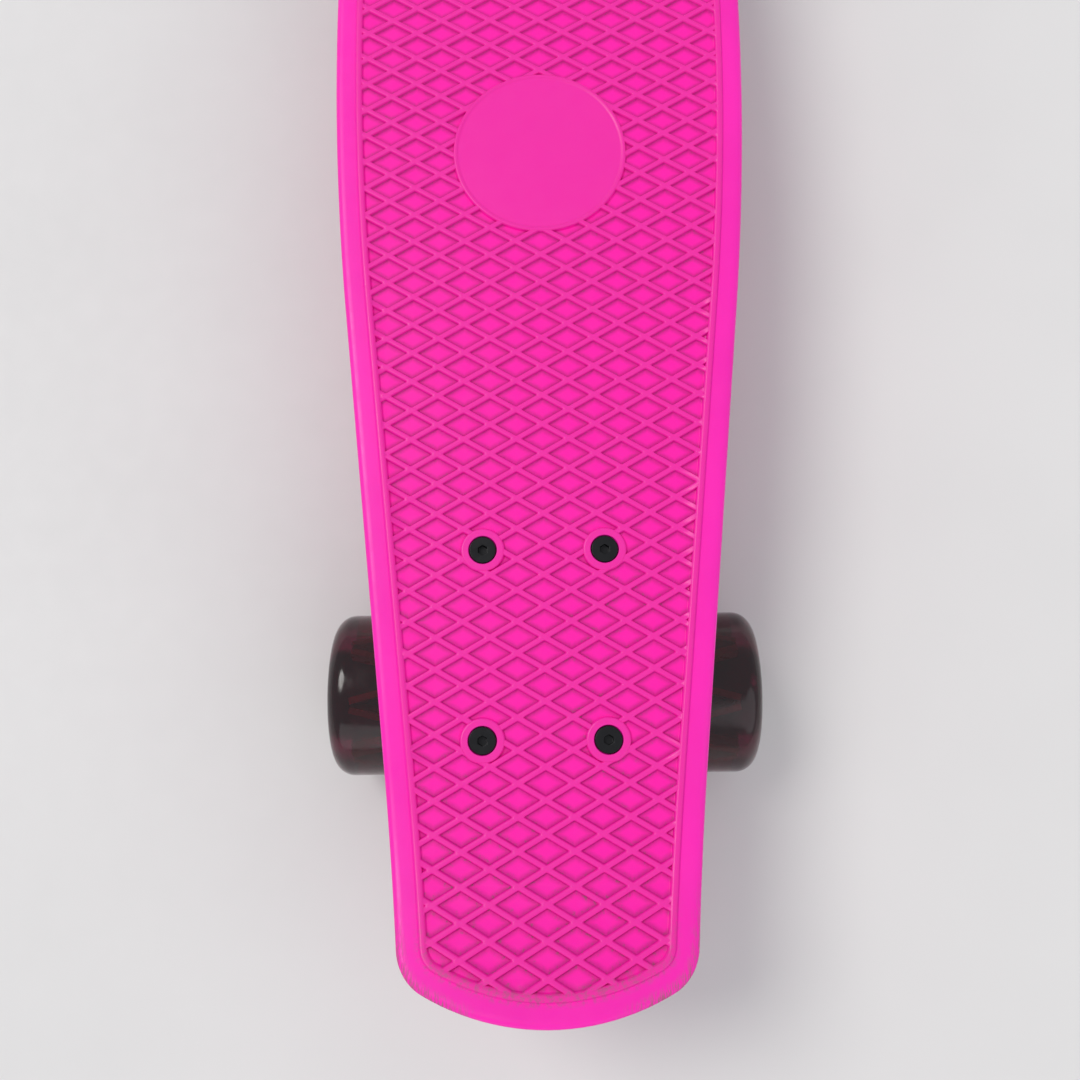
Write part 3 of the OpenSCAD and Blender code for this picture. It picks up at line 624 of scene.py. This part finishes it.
def shell(deck):
    """Plate, border, band, rounded edge and skirt, flat and closed, with the tread's top at 0."""
    inner = deck.band_w + deck.border_w
    outer = deck.band_w
    skirt, bottom, under = deck.skirt_t, deck.deck_t, deck.plate_t
    section = [
        (inner + 0.6, TREAD_FLOOR + 0.1), (inner + 0.2, 1.1), (inner, 0.7), (inner - 0.15, 0.3),
        (inner - 0.5, 0.05), (inner - 0.9, 0.0), (outer + 0.85, 0.0), (outer + 0.45, 0.05),
        (outer + 0.1, 0.3), (outer - 0.05, 0.7), (outer - 0.3, BAND_DROP), (outer - 2.2, BAND_DROP),
        (3.2, BAND_DROP), (2.1, 1.06), (1.2, 1.32), (0.5, 1.85), (0.12, 2.55), (0.0, 3.4),
        (0.0, bottom - 1.1), (0.2, bottom - 0.5), (0.65, bottom - 0.1), (1.2, bottom),
        (skirt - 1.1, bottom), (skirt - 0.4, bottom - 0.2), (skirt, bottom - 0.9),
        (skirt + 0.1, under + 1.2), (skirt + 0.4, under + 0.35), (skirt + 1.1, under),
    ]
    loops = [[(x, y, -depth) for x, y in outline(deck, inset)] for inset, depth in section]
    return together("moulded_deck", [stacked_loops(loops)])


def tread(deck, origin_x):
    """Slab with the waffle on top: two families of ridges, sampled along their own directions.

    It is made a little past the outline and clipped later.
    """
    half_along, half_across = deck.cell_along / 2, deck.cell_across / 2
    pitch = 2 * half_along * half_across / math.hypot(half_along, half_across)
    section = [(-o, h) for o, h in reversed(RIDGE)] + RIDGE
    reach = int((NOSE_X - TAIL_X) / deck.cell_along + 2 * HALF_W / deck.cell_across) + 2
    stations = [(k + offset / pitch, rise) for k in range(-reach, reach + 1)
                for offset, rise in section]
    place = np.array([s for s, _ in stations])
    rise = np.array([h for _, h in stations])
    s, t = np.meshgrid(place, place, indexing="ij")
    x = origin_x + (s + t) * half_along
    y = (s - t) * half_across
    ridge = 1 - (1 - rise[:, None]) * (1 - rise[None, :])
    top = -TREAD_FLOOR + deck.ridge_h * ridge
    mid_x = (x[:-1, :-1] + x[1:, 1:]) / 2
    mid_y = (y[:-1, :-1] + y[1:, 1:]) / 2
    spare = 4.0
    along = (mid_x > TAIL_X - spare) & (mid_x < NOSE_X + spare)
    near = along & (np.abs(mid_y) < HALF_W + spare)
    count = len(place)
    rows, columns = np.nonzero(near)
    first = rows * count + columns
    quads = np.stack([first, first + 1, first + count + 1, first + count], axis=1)
    used, renumbered = np.unique(quads, return_inverse=True)
    quads = renumbered.reshape(-1, 4)
    plan = np.stack([x.ravel()[used], y.ravel()[used]], axis=1)
    root = 1.0
    below = -SEAT - root
    points = np.vstack([np.column_stack([plan, top.ravel()[used]]),
                        np.column_stack([plan, np.full(len(used), below)])])
    # a wall closes the slab wherever a top face has no neighbour
    edges = {}
    for quad in quads.tolist():
        for a, b in zip(quad, quad[1:] + quad[:1]):
            edges[(a, b)] = True
    shift = len(used)
    walls = [[b, a, a + shift, b + shift] for a, b in edges if (b, a) not in edges]
    faces = quads.tolist() + (quads[:, ::-1] + shift).tolist() + walls
    return mesh_object("tread", points.tolist(), faces)


def raised_ring(deck, centre):
    """Ring boss around a bolt, solid until the holes are cut."""
    r = deck.ring_r
    return turned([(r - 0.75, 0.0), (r - 0.35, -0.05), (r - 0.08, -0.3), (r + 0.05, -0.8),
                   (r + 0.3, -TREAD_FLOOR), (r + 0.3, -SEAT)], centre, RING_STEPS)


def raised_disc(deck, centre):
    """Plain disc with a fine raised rim."""
    r = deck.disc_r
    return turned([(r - 2.1, -0.32), (r - 1.6, -0.3), (r - 1.35, -0.12), (r - 1.1, -0.02),
                   (r - 0.6, 0.0), (r - 0.3, -0.06), (r - 0.08, -0.3), (r + 0.05, -0.8),
                   (r + 0.3, -TREAD_FLOOR), (r + 0.3, -SEAT)], centre, DISC_STEPS)


def bolt_hole(deck, centre):
    """Cutter for a countersunk hole through ring and pad."""
    r, shank = deck.head_hole_r, deck.shank_hole_r
    return turned([(r + 0.5, 0.4), (r + 0.3, 0.0), (r + 0.08, -0.12), (r, -0.4), (r, -1.2),
                   (shank, -3.6), (shank, -deck.deck_t - 1.0)], centre, RING_STEPS)


def underside(deck, truck_xs):
    """Ribs and truck pads under the plate, still flat."""
    low, high = -deck.deck_t + RIB_RISE, -deck.plate_t + 0.5
    half = deck.rib_t / 2
    first = math.ceil((TAIL_X + deck.skirt_t) / deck.rib_pitch)
    last = math.floor((NOSE_X - deck.skirt_t) / deck.rib_pitch)
    across = [block((k * deck.rib_pitch - half, -HALF_W, low), (k * deck.rib_pitch + half, HALF_W, high))
              for k in range(first, last + 1)]
    rows = int(HALF_W / deck.rib_pitch)
    along = []
    for k in range(-rows, rows + 1):
        y = k * deck.rib_pitch
        along.append(block((TAIL_X, y - half, low), (NOSE_X, y + half, high - LAYER_STEP)))
    ribs = combine(together("ribs", across), together("long ribs", along), "UNION")
    ribs = combine(ribs, prism("rib clip", deck, deck.skirt_t - 0.4, low - 1, high + 1), "INTERSECT")
    plate_low, plate_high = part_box("rear_baseplate")
    half_len = (plate_high.x - plate_low.x) / MM / 2 + PAD_ALONG
    half_wide = (plate_high.y - plate_low.y) / MM / 2 + PAD_ACROSS
    pad_top = high - 2 * LAYER_STEP
    pads = [block((x - half_len, -half_wide, -deck.deck_t), (x + half_len, half_wide, pad_top))
            for x in truck_xs]
    return combine(ribs, together("pads", pads), "UNION")


def bend_height(deck, x, depth, top_z, kick_x, lift_x):
    """Height of a point of the deck: flat in the middle, on an arc at the tail and the nose."""
    z = top_z - depth
    for radius, start, side in ((deck.kick_r, kick_x, x < kick_x), (deck.lift_r, lift_x, x > lift_x)):
        reach = np.where(side, x - start, 0.0)
        lifted = top_z + radius - np.sqrt((radius + depth) ** 2 - reach ** 2)
        z = np.where(side, lifted, z)
    return z


def slice_for_bend(piece, places):
    """Cuts the flat deck across at each place so that it can bend there."""
    shape = bmesh.new()
    shape.from_mesh(piece.data)
    for x in places:
        everything = shape.verts[:] + shape.edges[:] + shape.faces[:]
        bmesh.ops.bisect_plane(shape, geom=everything, dist=1e-5, plane_co=(x, 0, 0),
                               plane_no=(1, 0, 0))
    bmesh.ops.remove_doubles(shape, verts=shape.verts[:], dist=0.004)
    bmesh.ops.dissolve_degenerate(shape, dist=0.003, edges=shape.edges[:])
    shape.to_mesh(piece.data)
    shape.free()


def truck_middles():
    """Lengthwise middle of the rear and of the front bolt pattern."""
    return [sum(span(f"{end}_baseplate", 0)) / 2 for end in ("rear", "front")]


def bolt_places(middles):
    """Plan places of the eight deck bolts."""
    half_x = middles[0] - span("deck_bolts", 0)[0] - BOLT_HEAD_R
    half_y = span("deck_bolts", 1)[1] - BOLT_HEAD_R
    return [(x + i * half_x, j * half_y) for x in middles for i in (-1, 1) for j in (-1, 1)]


def build_deck(deck):
    """The whole deck as one closed moulding: made flat, sliced, then bent up at both ends."""
    middles = truck_middles()
    spots = bolt_places(middles)
    disc = (middles[0] + deck.disc_ahead, 0.0)
    top_z = PAD_Z + deck.deck_t
    plate_low, plate_high = span("rear_baseplate", 0)
    pad_half = (plate_high - plate_low) / 2 + PAD_ALONG
    kick_x, lift_x = middles[0] - pad_half - BEND_CLEAR, middles[1] + pad_half + BEND_CLEAR
    waffle = tread(deck, middles[0] + deck.tread_shift)
    clip = prism("tread clip", deck, deck.band_w + deck.border_w / 2, -SEAT, 2.0)
    combine(waffle, clip, "INTERSECT")
    round_places = [(deck.ring_r, spot, RING_STEPS) for spot in spots]
    round_places.append((deck.disc_r, disc, DISC_STEPS))
    clearings = [turned([(r - 0.2, 2.0), (r - 0.2, -SEAT - 2)], centre, steps)
                 for r, centre, steps in round_places]
    combine(waffle, together("clearings", clearings), "DIFFERENCE")
    piece = shell(deck)
    combine(piece, waffle, "UNION")
    raised = [raised_ring(deck, c) for c in spots] + [raised_disc(deck, disc)]
    combine(piece, together("raised", raised), "UNION")
    combine(piece, underside(deck, middles), "UNION")
    combine(piece, together("holes", [bolt_hole(deck, c) for c in spots]), "DIFFERENCE")
    tail_cuts = [kick_x - BEND_STEP * i for i in range(int((kick_x - TAIL_X) / BEND_STEP) + 1)]
    nose_cuts = [lift_x + BEND_STEP * i for i in range(int((NOSE_X - lift_x) / BEND_STEP) + 1)]
    slice_for_bend(piece, tail_cuts + nose_cuts)
    mesh = piece.data
    flat = np.zeros(len(mesh.vertices) * 3)
    mesh.vertices.foreach_get("co", flat)
    flat = flat.reshape(-1, 3)
    depth = -flat[:, 2]
    height = bend_height(deck, flat[:, 0], depth, top_z, kick_x, lift_x)
    mesh.vertices.foreach_set("co", (np.column_stack([flat[:, :2], height]) * MM).ravel())
    measures = {"mould_depth": depth, "edge_distance": edge_distances(deck, flat[:, :2])}
    for name, values in measures.items():
        mesh.attributes.new(name, "FLOAT", "POINT").data.foreach_set("value", values)
    mesh.update()
    smooth_by(piece, 50)
    return piece


# ---------- wheels ----------

def tyre_section(wheel, core_r, outer_r, half_w):
    """Half of a tyre's section from the middle of its bore to the middle of its tread."""
    r, dish = wheel.shoulder_r, wheel.face_dish
    centre_r, centre_a = outer_r - r, half_w - r
    section = [(core_r, 0.0), (core_r, half_w * 0.5), (core_r, half_w - dish - 1.2),
               (core_r + 0.2, half_w - dish - 0.5), (core_r + 0.8, half_w - dish - 0.08),
               (core_r + 1.8, half_w - dish + 0.1), (core_r + 3.2, half_w - dish * 0.55),
               (core_r + 4.2, half_w - dish * 0.12), (core_r + 4.9, half_w)]
    turns = [math.pi / 2 * (1 - i / 12) for i in range(13)]
    section += [(centre_r + r * math.cos(a), centre_a + r * math.sin(a)) for a in turns]
    section += [(outer_r, centre_a * share) for share in (0.66, 0.33, 0.06)]
    return section


def turned_ring(name, section, centre, steps):
    """Ring of revolution about a line across the board, from a closed (radius, offset) section."""
    points = []
    for i in range(steps):
        a = 2 * math.pi * i / steps
        points += [((centre[0] + r * math.cos(a)) * MM, (centre[1] + off) * MM,
                    (centre[2] + r * math.sin(a)) * MM) for r, off in section]
    count = len(section)
    faces = []
    for i in range(steps):
        here, there = i * count, (i + 1) % steps * count
        for j in range(count):
            k = (j + 1) % count
            faces.append([here + j, here + k, there + k, there + j])
    piece = mesh_object(name, points, faces)
    shape = bmesh.new()
    shape.from_mesh(piece.data)
    if shape.calc_volume(signed=True) < 0:
        bmesh.ops.reverse_faces(shape, faces=shape.faces[:])
    shape.to_mesh(piece.data)
    shape.free()
    return piece


def bore_radius(corner, centre):
    """Radius of a CAD tyre's bore in millimetres."""
    points = (v.co / MM for v in frame["nodes"][f"{corner}_tyre"].data.vertices)
    return min(math.hypot(p.x - centre[0], p.z - centre[2]) for p in points)


def build_tyre(wheel, corner):
    """Tyre with a dished face, a soft lip and round shoulders, around its core."""
    (x0, x1), (y0, y1), (z0, z1) = (span(f"{corner}_tyre", axis) for axis in range(3))
    centre = ((x0 + x1) / 2, (y0 + y1) / 2, (z0 + z1) / 2)
    core_r = bore_radius(corner, centre) + wheel.core_gap
    half = tyre_section(wheel, core_r, (z1 - z0) / 2, (y1 - y0) / 2)
    mirrored = [(r, -a) for r, a in reversed(half[1:])]
    return turned_ring(f"{corner}_cast_tyre", half + mirrored, centre, wheel.segments)


# ---------- trucks and hardware ----------

def cad_copy(node, name):
    """A new piece with a copy of a CAD node's mesh, its split vertices joined."""
    mesh = frame["nodes"][node].data.copy()
    piece = bpy.data.objects.new(name, mesh)
    bpy.context.scene.collection.objects.link(piece)
    shape = bmesh.new()
    shape.from_mesh(mesh)
    bmesh.ops.remove_doubles(shape, verts=shape.verts[:], dist=1e-6)
    shape.to_mesh(mesh)
    shape.free()
    mesh.materials.clear()
    return piece


def cast_piece(node, name, voxel):
    """A casting: the CAD shape with its edges and inner corners rounded, as poured metal has."""
    piece = cad_copy(node, name)
    remesh = piece.modifiers.new("grain", "REMESH")
    remesh.mode = "VOXEL"
    remesh.voxel_size = voxel
    remesh.adaptivity = 0.0
    soften = piece.modifiers.new("soften", "SMOOTH")
    soften.factor = 0.5
    soften.iterations = 5
    settle(piece)
    piece.data.shade_smooth()
    return piece


def machined_piece(node, name, edge):
    """Turned or cut hardware: the CAD shape with every sharp edge broken by a small round."""
    piece = cad_copy(node, name)
    shape = bmesh.new()
    shape.from_mesh(piece.data)
    bmesh.ops.dissolve_limit(shape, angle_limit=math.radians(1.0), verts=shape.verts[:],
                             edges=shape.edges[:], delimit=set())
    sharp = [e for e in shape.edges
             if len(e.link_faces) == 2 and e.calc_face_angle(0) > math.radians(28)]
    bmesh.ops.bevel(shape, geom=sharp, offset=edge, offset_type="OFFSET", segments=2, profile=0.5,
                    affect="EDGES", clamp_overlap=True)
    shape.to_mesh(piece.data)
    shape.free()
    smooth_by(piece, 40)
    return piece


def finish_piece(piece, node, body, material):
    """Ties a new piece to its body, its CAD node and its finish."""
    piece.data.materials.clear()
    piece.data.materials.append(material)
    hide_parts(node)
    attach(piece, body)


BODIES = frame["record"]["behaviour"]["bodies"]
BODY_OF = {node: body for body, nodes in BODIES.items() for node in nodes}


def make_hardware(nodes, edge, material):
    """Replaces several CAD nodes by their machined pieces."""
    for node in nodes:
        piece = machined_piece(node, f"{node}_made", edge)
        finish_piece(piece, node, BODY_OF[node], material)


# ---------- stage ----------

def soft_sun(name, toward, strength, angle, colour=(1, 1, 1)):
    """A very soft light from one direction, even over the whole floor."""
    data = bpy.data.lights.new(name, "SUN")
    data.energy = strength
    data.angle = angle
    data.color = colour
    lamp = bpy.data.objects.new(name, data)
    bpy.context.scene.collection.objects.link(lamp)
    lamp.rotation_euler = Vector(toward).to_track_quat("Z", "Y").to_euler()


def build_floor(stage):
    """A wide pale floor with a barely visible grain."""
    reach = 40
    points = [(x, y, 0.0) for x in (-reach, reach) for y in (-reach, reach)]
    floor = mesh_object("floor", points, [[0, 2, 3, 1]])
    m = Finish("pale floor")
    m.colour(m.mix(m.spread(m.noise(0.15, 3), 0.3, 0.7), stage.floor, shade(stage.floor, 0.97)))
    m.roughness(m.spread(m.noise(0.01), 0.3, 0.7, 0.6, 0.75))
    floor.data.materials.append(m.material)


def build_camera(stage, truck_x, top_z):
    """Camera above the tail, leaning towards the nose."""
    data = bpy.data.cameras.new("camera")
    data.lens = stage.lens
    data.clip_start = 0.01
    camera = bpy.data.objects.new("camera", data)
    bpy.context.scene.collection.objects.link(camera)
    back = Vector((-math.sin(stage.tilt), 0, math.cos(stage.tilt)))
    up = Vector((math.cos(stage.tilt), 0, math.sin(stage.tilt)))
    right = up.cross(back)
    turned_up = up * math.cos(stage.roll) + right * math.sin(stage.roll)
    turned_right = turned_up.cross(back)
    turn = Matrix((turned_right, turned_up, back)).transposed()
    place = Vector((truck_x - stage.camera_back, stage.camera_aside, top_z + stage.camera_height))
    camera.matrix_world = Matrix.Translation(place) @ turn.to_4x4()
    bpy.context.scene.camera = camera


def build_world():
    """Even pale surroundings that the gloss can mirror."""
    world = bpy.data.worlds.new("studio")
    bpy.context.scene.world = world
    world.use_nodes = True
    sky = world.node_tree.nodes["Background"]
    sky.inputs["Color"].default_value = (0.93, 0.95, 1.0, 1)
    sky.inputs["Strength"].default_value = 0.6


# ---------- operators ----------

class CRUISER_OT_deck(bpy.types.Operator):
    """Build the moulded deck with its waffle tread, disc, bolt rings and ribbed underside"""
    bl_idname = "cruiser.deck"
    bl_label = "Deck"

    def execute(self, context):
        deck = context.scene.cruiser_deck
        piece = build_deck(deck)
        finish_piece(piece, "deck", "board", moulded_deck_finish(deck))
        return {"FINISHED"}


class CRUISER_OT_deck_fasteners(bpy.types.Operator):
    """Build the black deck bolts and their plated lock nuts"""
    bl_idname = "cruiser.deck_fasteners"
    bl_label = "Deck bolts and nuts"

    def execute(self, context):
        truck = context.scene.cruiser_truck
        black = steel_finish("black oxide steel", truck.oxide, 0.26, metallic=0.7, spots=0.1)
        make_hardware(["deck_bolts"], truck.edge, black)
        zinc = steel_finish("zinc plated deck nuts", truck.zinc, 0.28)
        make_hardware(["deck_nuts"], truck.edge, zinc)
        return {"FINISHED"}


class CRUISER_OT_castings(bpy.types.Operator):
    """Build the cast baseplates and hangers of both trucks"""
    bl_idname = "cruiser.castings"
    bl_label = "Cast truck parts"

    def execute(self, context):
        truck = context.scene.cruiser_truck
        alloy = cast_alloy_finish(truck)
        for node in [f"{end}_{part}" for end in ENDS for part in ("baseplate", "hanger")]:
            piece = cast_piece(node, f"{node}_casting", truck.voxel)
            finish_piece(piece, node, BODY_OF[node], alloy)
        return {"FINISHED"}


class CRUISER_OT_kingpins(bpy.types.Operator):
    """Build the kingpins with their cup washers and lock nuts"""
    bl_idname = "cruiser.kingpins"
    bl_label = "Kingpins, washers and nuts"

    def execute(self, context):
        truck = context.scene.cruiser_truck
        steel = steel_finish("plain hardened steel", truck.steel, 0.3, brush=(1, 1, 0.2))
        make_hardware([f"{end}_kingpin" for end in ENDS], truck.edge, steel)
        zinc = steel_finish("zinc plated steel", truck.zinc, 0.25)
        parts = ("board_washer", "road_washer", "kingpin_nut")
        make_hardware([f"{end}_{part}" for end in ENDS for part in parts], truck.edge, zinc)
        return {"FINISHED"}


class CRUISER_OT_bushings(bpy.types.Operator):
    """Build the urethane bushings and the nylon pivot cups"""
    bl_idname = "cruiser.bushings"
    bl_label = "Bushings and pivot cups"

    def execute(self, context):
        truck = context.scene.cruiser_truck
        soft = urethane_finish("cast bushing urethane", truck.urethane, 0.25)
        parts = ("board_bushing", "road_bushing")
        make_hardware([f"{end}_{part}" for end in ENDS for part in parts], truck.soft_edge, soft)
        cup = urethane_finish("pivot cup nylon", shade(truck.urethane, 0.9), 0.1)
        make_hardware([f"{end}_pivot_cup" for end in ENDS], truck.edge, cup)
        return {"FINISHED"}


class CRUISER_OT_axles(bpy.types.Operator):
    """Build the axles, their lock nuts and the speed rings"""
    bl_idname = "cruiser.axles"
    bl_label = "Axles, nuts and speed rings"

    def execute(self, context):
        truck = context.scene.cruiser_truck
        ground = steel_finish("ground axle steel", shade(truck.steel, 1.3), 0.22, brush=(1, 0.15, 1))
        make_hardware([f"{end}_axle" for end in ENDS], truck.edge * 2, ground)
        zinc = steel_finish("zinc plated axle nuts", truck.zinc, 0.25)
        make_hardware([f"{end}_axle_nuts" for end in ENDS], truck.edge, zinc)
        dress([f"{corner}_speed_rings" for corner in CORNERS], zinc)
        return {"FINISHED"}


class CRUISER_OT_tyres(bpy.types.Operator):
    """Build the four see-through urethane tyres"""
    bl_idname = "cruiser.tyres"
    bl_label = "Tyres"

    def execute(self, context):
        wheel = context.scene.cruiser_wheel
        smoke = smoky_urethane_finish(wheel)
        for corner in CORNERS:
            piece = build_tyre(wheel, corner)
            smooth_by(piece, 60, weighted=False)
            finish_piece(piece, f"{corner}_tyre", f"{corner}_wheel", smoke)
        return {"FINISHED"}


class CRUISER_OT_cores(bpy.types.Operator):
    """Finish the red wheel cores and the spacers between the bearings"""
    bl_idname = "cruiser.cores"
    bl_label = "Cores and spacers"

    def execute(self, context):
        wheel = context.scene.cruiser_wheel
        dress([f"{corner}_core" for corner in CORNERS], red_core_finish(wheel))
        tube = steel_finish("machined aluminium", wheel.spacer, 0.25, brush=(1, 0.2, 1))
        dress([f"{corner}_spacer" for corner in CORNERS], tube)
        return {"FINISHED"}


class CRUISER_OT_bearings(bpy.types.Operator):
    """Finish the bearing races, balls and shields"""
    bl_idname = "cruiser.bearings"
    bl_label = "Bearings"

    def execute(self, context):
        wheel = context.scene.cruiser_wheel
        chrome = steel_finish("polished bearing steel", wheel.polished, 0.1, brush=(1, 0.2, 1),
                              spots=0.1)
        parts = ("outer_races", "inner_races", "balls")
        dress([f"{corner}_{part}" for corner in CORNERS for part in parts], chrome)
        dress([f"{corner}_shields" for corner in CORNERS], shield_finish(wheel))
        return {"FINISHED"}


class CRUISER_OT_stage(bpy.types.Operator):
    """Set the pale floor, the soft lights and the camera"""
    bl_idname = "cruiser.stage"
    bl_label = "Stage"

    def execute(self, context):
        stage = context.scene.cruiser_stage
        top_z = (PAD_Z + context.scene.cruiser_deck.deck_t) * MM
        build_camera(stage, truck_middles()[0] * MM, top_z)
        build_floor(stage)
        build_world()
        context.scene.view_settings.view_transform = "Standard"
        soft_sun("key", (0.5, 0.9, 1.5), 1.35, math.radians(26), (1.0, 0.98, 0.95))
        soft_sun("fill", (-0.9, -1.1, 1.2), 0.55, math.radians(60), (0.95, 0.97, 1.0))
        soft_sun("rim", (-1.4, 0.5, 0.6), 0.3, math.radians(40))
        return {"FINISHED"}


OPERATORS = (CRUISER_OT_stage, CRUISER_OT_deck, CRUISER_OT_deck_fasteners, CRUISER_OT_castings,
             CRUISER_OT_kingpins, CRUISER_OT_bushings, CRUISER_OT_axles, CRUISER_OT_tyres,
             CRUISER_OT_cores, CRUISER_OT_bearings)


class CRUISER_PT_panel(bpy.types.Panel):
    """Sidebar list of the skateboard's pieces"""
    bl_idname = "CRUISER_PT_panel"
    bl_label = "Cruiser skateboard"
    bl_space_type = "VIEW_3D"
    bl_region_type = "UI"
    bl_category = "Cruiser"

    def draw(self, context):
        for operator in OPERATORS:
            self.layout.operator(operator.bl_idname, text=operator.bl_label)


GROUPS = {"cruiser_deck": CruiserDeckProps, "cruiser_wheel": CruiserWheelProps,
          "cruiser_truck": CruiserTruckProps, "cruiser_stage": CruiserStageProps}


def register():
    """Adds the property groups, operators and panel."""
    for cls in (*GROUPS.values(), *OPERATORS, CRUISER_PT_panel):
        bpy.utils.register_class(cls)
    for name, group in GROUPS.items():
        setattr(bpy.types.Scene, name, PointerProperty(type=group))


def unregister():
    """Takes away what register added."""
    for name in GROUPS:
        delattr(bpy.types.Scene, name)
    for cls in reversed((*GROUPS.values(), *OPERATORS, CRUISER_PT_panel)):
        bpy.utils.unregister_class(cls)


def main():
    """Builds every piece in order."""
    register()
    for operator in OPERATORS:
        group, name = operator.bl_idname.split(".")
        getattr(getattr(bpy.ops, group), name)()


if __name__ == "__main__":
    main()
